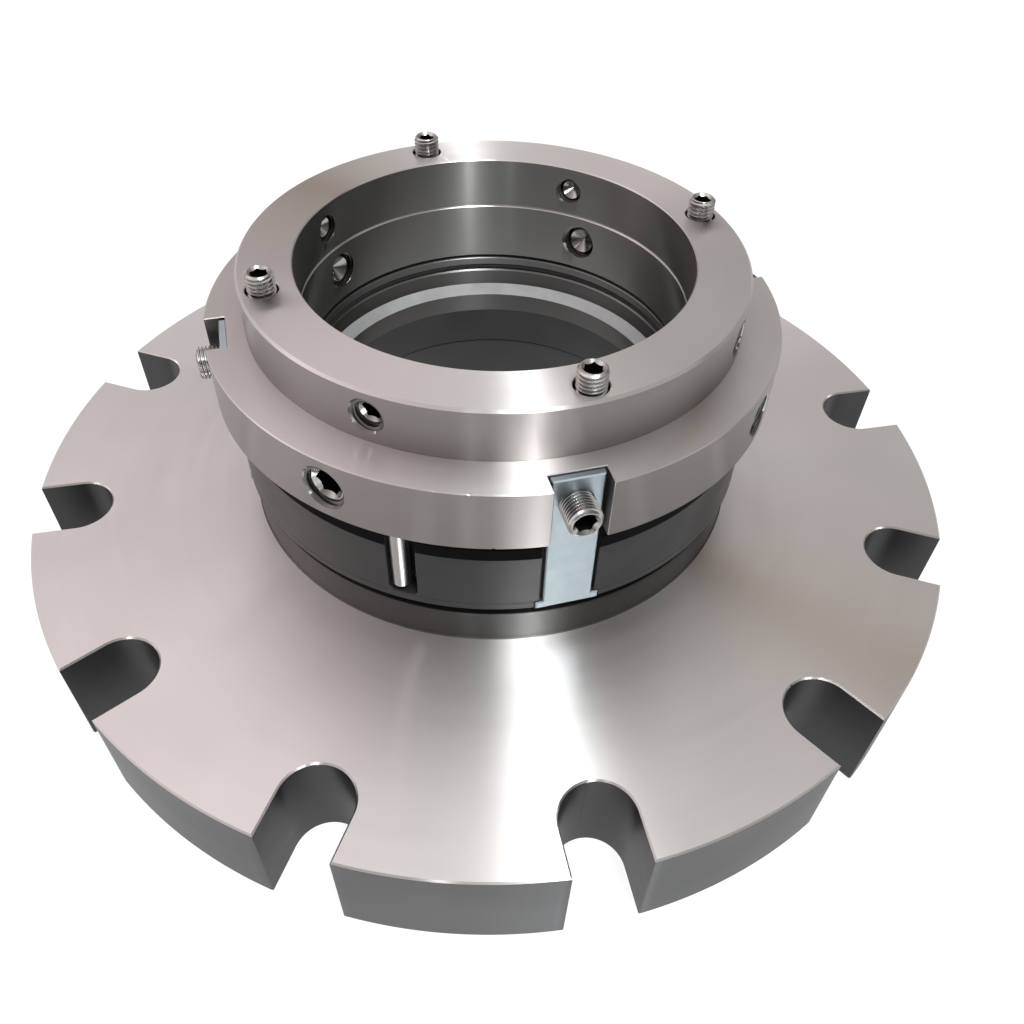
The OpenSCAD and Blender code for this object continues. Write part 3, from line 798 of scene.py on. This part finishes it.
def make_set_screw(name, d, pitch, length):
    """A hexagon socket set screw along +Z, with its cup point at the bottom."""
    bevel = 0.09 * d
    socket = 0.56 * d
    socket_floor = length - 0.7 * d
    cup = 0.22 * d
    drop = 0.1 * d
    core = 0.01
    outside = d / 2 + 0.2
    part = threaded_rod(name, d / 2, pitch, length)
    envelope = lathe("envelope_tool", [
        (core, cup), (d / 2 - 2 * bevel, 0), (outside, 2 * bevel + 0.2), (outside, length - bevel * 1.1),
        (d / 2 - bevel, length), (core, length)], ROUND_SIDES)
    apply_boolean(part, envelope, "INTERSECT")
    key = rod("key_tool", socket / 2 / math.cos(math.pi / 6), socket_floor, length + PAST, 6)
    mouth = rod("mouth_tool", socket / 2, length - drop, length + drop, 32, socket / 2 + 2 * drop)
    apply_boolean(part, key)
    apply_boolean(part, mouth)
    # Painted shade: the faces inside the socket get the dark steel
    paint(part, SOCKET, lambda at, facing: far_from_axis(at) < 0.56 * socket
          and length - 0.75 * d < at.z < length - drop)
    return part


def set_round(master, clock, materials, slot, stem):
    """Four of a small piece, a quarter turn apart, each in place of its own solid."""
    name = master.name
    for i, piece in enumerate(quarters((master, clock)), 1):
        piece.name = f"{name}_{i}"
        finish_piece(piece, materials, "rotor", slot, f"{stem}_{i}")


def make_screws():
    for kind, size in SCREWS.items():
        part = make_set_screw("threaded_" + kind, size["d"], size["pitch"], size["length"])
        if "tip" in size:
            part.data.transform(Matrix.Translation((0, 0, size["tip"] * MM)))
            lay_along_x(part, size["mid"])
        else:
            move(part, AXIAL_RING_R, AXIAL_TOP - size["length"])
        smooth(part, 25)
        set_round(part, size["clock"], [screw_steel, socket_steel_painted_shade], "screw_steel", kind)


# Setting clips and drive pins

def make_clips():
    low, high = CLIP_Z
    front = CLIP_BACK_R + CLIP_T
    foot_top = (low + CLIP_FOOT_H) * MM
    part = block("milled_setting_clip", (CLIP_BACK_R, -CLIP_W / 2, low), (front, CLIP_W / 2, high))
    edit(part)
    bpy.ops.mesh.select_all(action="SELECT")
    bpy.ops.mesh.bisect(plane_co=(0, 0, foot_top), plane_no=(0, 0, 1))
    mode("FACE")
    for side in (-1, 1):
        take(part, "faces", lambda f: f.normal.y * side > 0.9 and f.calc_center_median().z < foot_top)
        step = side * (CLIP_FOOT_W - CLIP_W) / 2 * MM
        bpy.ops.mesh.extrude_region_move(TRANSFORM_OT_translate={"value": (0, step, 0)})
    bpy.ops.mesh.select_all(action="SELECT")
    bpy.ops.mesh.remove_doubles(threshold=0.001 * MM)
    bpy.ops.mesh.normals_make_consistent(inside=False)
    done(part)
    break_edges(part, 0.45, lambda a, b: min(a[0], b[0]) > front - NEAR)
    hole = rod("hole_tool", CLIP_HOLE_R, CLIP_BACK_R - PAST, front + PAST, ROUND_SIDES)
    apply_boolean(part, lay_along_x(hole, DRIVE_MID))
    smooth(part)
    set_round(part, CLIP_CLOCK, [clip_steel], "clip_steel", "setting_clip")


def make_pins():
    part = rod("ground_drive_pin", PIN_HALF, PIN_Z[0], PIN_Z[1], 64)
    break_edges(part, 0.8, lambda a, b: max(a[2], b[2]) < PIN_Z[0] + NEAR, 3)
    move(part, PIN_R)
    smooth(part)
    set_round(part, PIN_CLOCK, [pin_steel], "pin_steel", "drive_pin")


# The flange's turned steel, then its darker copies with painted shade for the rim, slot and hub walls
FLANGE_STEELS = [flange_steel, rim_steel_painted_shade, slot_steel_painted_shade, hub_steel_painted_shade]
# The carrier's steel, a darker copy with painted shade for its bore land, and the ledge's steel
CARRIER_STEELS = [carrier_steel, land_steel_painted_shade, ledge_steel]
# The collars' ground steel, then its darker copies with painted shade for the cuts, bore and outer wall
COLLAR_STEELS = [collar_steel, notch_steel_painted_shade, bore_steel_painted_shade, wall_steel_painted_shade]

finish_piece(make_flange(), FLANGE_STEELS, "stator", "flange_steel", "gland_flange")
finish_piece(make_face_ring(), [black_ring, shadow_band_ring], "face_unit", "black_ceramic", "rotating_face")
finish_piece(make_carrier(), CARRIER_STEELS, "face_unit", "carrier_steel", "face_carrier")
finish_piece(make_thrust_ring(), [carrier_steel], "face_unit", "carrier_steel", "thrust_ring")
finish_piece(make_drive_collar(), COLLAR_STEELS, "rotor", "collar_steel", "drive_collar")
finish_piece(make_lock_collar(), COLLAR_STEELS, "rotor", "collar_steel", "lock_collar")
make_screws()
make_clips()
make_pins()

# Solids that stay as they are get only a material
for name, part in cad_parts.items():
    chosen = PLAIN_NODES.get(name, spring_steel if name.startswith("closing_spring") else None)
    if chosen:
        for place in part.material_slots:
            place.material = chosen


# Floor, light and camera

PLAIN = (1, 1, 1)
PINK = (1.05, 0.95, 0.96)
TAN = (1.01, 1, 0.98)
BROWN = (1, 0.83, 0.72)
COOL = (0.96, 1, 1)
CREAM = (1, 1, 0.98)
HORIZON = (0.52, 0.52, 0.52, 1)

# The sky's colours, as (place from 0 to 1, strength, hue): from the back over the top to the front,
# from left to right, and towards a dim warm band at the back right
SKY_OVER = [(0, 0.45, PLAIN), (0.12, 0.5, PLAIN), (0.22, 0.8, PLAIN), (0.36, 1.05, PLAIN),
            (0.48, 1.35, PLAIN), (0.6, 1.3, PLAIN), (0.72, 0.5, PLAIN), (0.85, 0.12, PLAIN),
            (1, 0.1, PLAIN)]
SKY_ACROSS = [(0, 1.25, PINK), (0.3, 1.18, PINK), (0.47, 1.2, PLAIN), (0.56, 1.2, PLAIN),
              (0.72, 0.75, TAN), (1, 0.38, TAN)]
WARM_WAY = (0.54, 0.84, 0)
SKY_WARM = [(0.585, 1, PLAIN), (0.615, 0.45, BROWN), (0.66, 0.7, BROWN), (0.71, 1, PLAIN)]

# The camera that took the photograph, worked out from its circles. It stands behind and above the middle
# of the flange's face, in millimetres, and its angles are in radians
CAMERA_YAW = 0.0316
CAMERA_PITCH = 0.7953
CAMERA_ROLL = 0.0373
CAMERA_BACK = 300.07
CAMERA_UP = 269.8
CAMERA_LENS = 32.04
CAMERA_SENSOR = 36


def make_floor():
    """A floor that the camera and the reflections see nearly white, and that still keeps a shadow."""
    glow_share = 0.8
    leave_all()
    bpy.ops.mesh.primitive_plane_add(size=30)
    floor = bpy.context.object
    floor.name = "pale_floor"
    made, tree = blank("pale_floor")
    seen = node(tree, "ShaderNodeLightPath")
    sees = calc(tree, "MAXIMUM", seen.outputs["Is Camera Ray"], seen.outputs["Is Glossy Ray"])
    sees = calc(tree, "MAXIMUM", sees, seen.outputs["Is Transmission Ray"])
    share = calc(tree, "MULTIPLY", sees, glow_share)
    matt = node(tree, "ShaderNodeBsdfDiffuse", {"Color": (0.86, 0.86, 0.86, 1)}).outputs[0]
    glow = node(tree, "ShaderNodeEmission", {"Color": (1, 1, 1, 1), "Strength": 1.1}).outputs[0]
    mixed = node(tree, "ShaderNodeMixShader", {0: share, 1: matt, 2: glow}).outputs[0]
    node(tree, "ShaderNodeOutputMaterial", {"Surface": mixed})
    floor.data.materials.append(made)


def ramp(tree, value, stops):
    """Colours laid out along a value from 0 to 1."""
    made = node(tree, "ShaderNodeValToRGB", {0: value})
    marks = made.color_ramp.elements
    while len(marks) < len(stops):
        marks.new(0.5)
    for mark, (place, strength, hue) in zip(marks, stops):
        mark.position = place
        mark.color = (*(strength * share for share in hue), 1)
    return made.outputs[0]


def make_world():
    """A room that is brightest overhead and dim in front and to the right, with a warm band."""
    world = bpy.data.worlds.new("studio")
    bpy.context.scene.world = world
    world.use_nodes = True
    tree = world.node_tree
    tree.nodes.clear()
    ahead = node(tree, "ShaderNodeTexCoord").outputs["Generated"]
    looking = node(tree, "ShaderNodeVectorRotate", {"Vector": ahead, "Angle": -math.radians(FRONT_CLOCK)},
                   rotation_type="Z_AXIS").outputs[0]
    way = node(tree, "ShaderNodeSeparateXYZ", {0: looking})
    arc = calc(tree, "ARCTAN2", way.outputs[2], way.outputs[1])
    over = ramp(tree, spread(tree, arc, 0, math.pi), SKY_OVER)
    patches = node(tree, "ShaderNodeTexNoise", {"Vector": looking, "Scale": 2.5, "Detail": 2.0}).outputs[0]
    uneven = tint(tree, spread(tree, patches, 0.35, 0.65), PLAIN, (0.94, 0.9, 0.88))
    sky = multiply(tree, over, uneven)
    height = spread(tree, way.outputs[2], 0.1, 0.3)
    sky = node(tree, "ShaderNodeMix", {0: height, 6: HORIZON, 7: sky}, data_type="RGBA").outputs[2]
    sky = multiply(tree, sky, ramp(tree, spread(tree, way.outputs[0], -1, 1), SKY_ACROSS))
    towards = node(tree, "ShaderNodeVectorMath", {0: looking, 1: WARM_WAY}, operation="DOT_PRODUCT")
    sky = multiply(tree, sky, ramp(tree, towards.outputs["Value"], SKY_WARM))
    back = node(tree, "ShaderNodeBackground", {"Color": sky, "Strength": 1.0}).outputs[0]
    node(tree, "ShaderNodeOutputWorld", {"Surface": back})


def soft_lamp(name, place, wide, tall, watts, colour, down):
    """A lamp placed as the camera sees the room: right, away and up. It shines down, or at the seal."""
    lamp = bpy.data.lights.new(name, "AREA")
    lamp.shape = "RECTANGLE"
    lamp.size = wide
    lamp.size_y = tall
    lamp.energy = watts
    lamp.color = colour
    holder = bpy.data.objects.new(name, lamp)
    bpy.context.collection.objects.link(holder)
    pose = Matrix.Translation(place)
    if not down:
        to_seal = Vector((0, 0, 0.08)) - Vector(place)
        pose = pose @ to_seal.to_track_quat("-Z", "Y").to_matrix().to_4x4()
    holder.matrix_world = Matrix.Rotation(math.radians(FRONT_CLOCK), 4, "Z") @ pose


def make_camera():
    level = math.cos(CAMERA_PITCH)
    ahead = Vector((level * math.sin(CAMERA_YAW), level * math.cos(CAMERA_YAW), -math.sin(CAMERA_PITCH)))
    side = Vector((math.cos(CAMERA_YAW), -math.sin(CAMERA_YAW), 0))
    up = side.cross(ahead)
    right = math.cos(CAMERA_ROLL) * side + math.sin(CAMERA_ROLL) * up
    top = -math.sin(CAMERA_ROLL) * side + math.cos(CAMERA_ROLL) * up
    turn = Matrix.Rotation(math.radians(FRONT_CLOCK), 4, "Z")
    pose = Matrix((right, top, -ahead)).transposed().to_4x4()
    pose.translation = Vector((0, -CAMERA_BACK, CAMERA_UP + FLANGE_T)) * MM
    lens = bpy.data.cameras.new("camera")
    lens.lens = CAMERA_LENS
    lens.sensor_width = CAMERA_SENSOR
    lens.clip_start = 0.01
    holder = bpy.data.objects.new("camera", lens)
    bpy.context.collection.objects.link(holder)
    holder.matrix_world = turn @ pose
    bpy.context.scene.camera = holder


make_floor()
make_world()
make_camera()
soft_lamp("ceiling_lamp", (0.29, -0.66, 1.6), wide=0.1, tall=0.2, watts=6, colour=COOL, down=True)
soft_lamp("ceiling_glow", (0.3, -0.62, 1.6), wide=0.42, tall=0.5, watts=12, colour=COOL, down=True)
soft_lamp("front_strip", (0.42, -1.4, 0.4), wide=0.07, tall=0.8, watts=4.2, colour=PLAIN, down=False)
soft_lamp("left_strip", (-0.2, -1.4, 0.4), wide=0.05, tall=0.8, watts=0.6, colour=CREAM, down=False)
bpy.context.scene.view_settings.view_transform = "Standard"
